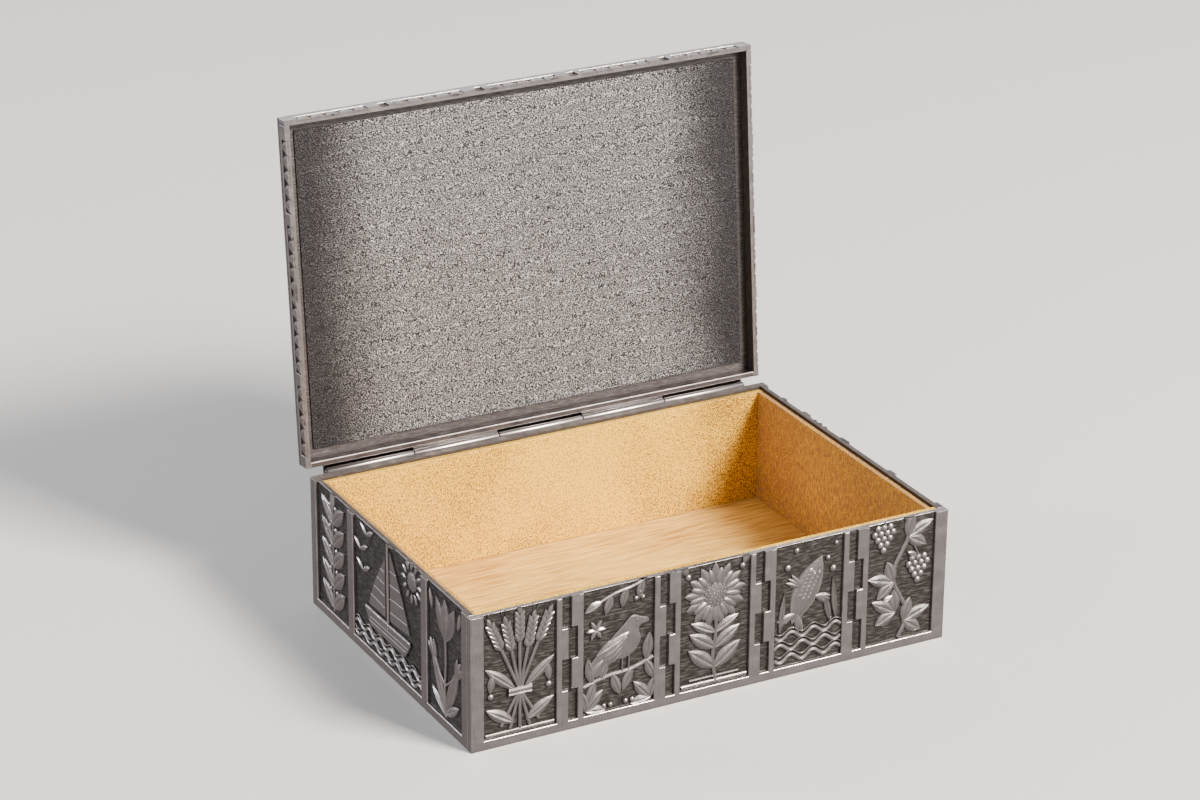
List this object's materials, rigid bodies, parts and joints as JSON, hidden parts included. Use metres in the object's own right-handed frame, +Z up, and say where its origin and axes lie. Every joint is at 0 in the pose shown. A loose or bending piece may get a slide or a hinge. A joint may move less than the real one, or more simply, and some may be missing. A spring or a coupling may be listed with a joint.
{
  "type": "hinged keepsake box",
  "caption": "Rectangular wood-lined metal box with raised relief panels between stepped-key strips and a hinged lid that stands open on its stop, for cigarettes or keepsakes.",
  "frame": {"origin": "middle of the base plate's underside, on the surface that the box stands on", "axes": "+X along the box's length to the viewer's right, +Y from the front towards the hinge, +Z up"},
  "size_m": [0.165, 0.1314, 0.1579],
  "materials": {
    "silvered_metal": "silver-grey plated relief, dark patina in the recesses, satin on the raised faces",
    "hinge_metal": "silver-grey plated, drawn and satin",
    "pebbled_metal": "pebbled, semi-gloss silver-grey",
    "side_wood": "fine-grained golden veneer board, oiled",
    "floor_wood": "pale straight-grained board, bare"
  },
  "bodies": {
    "box": {"base_plate": "silvered_metal", "front_wall": "silvered_metal", "back_wall": "silvered_metal", "left_wall": "silvered_metal", "right_wall": "silvered_metal", "liner_floor": "floor_wood", "liner_front": "side_wood", "liner_back": "side_wood", "liner_left": "side_wood", "liner_right": "side_wood", "hinge_body_leaf": "hinge_metal", "hinge_pin": "hinge_metal"},
    "lid": {"hinge_lid_leaf": "hinge_metal", "lid_top_plate": "silvered_metal", "lid_lining_sheet": "pebbled_metal", "lid_front_skirt": "silvered_metal", "lid_back_skirt": "silvered_metal", "lid_left_skirt": "silvered_metal", "lid_right_skirt": "silvered_metal"}
  },
  "joints": [
    {"name": "lid_hinge", "type": "hinge", "parent": "box", "child": "lid", "pos_m": [0, 0.0584, 0.0435], "axis": [-1, 0, 0], "range_deg": [-95.2, 0]}
  ]
}
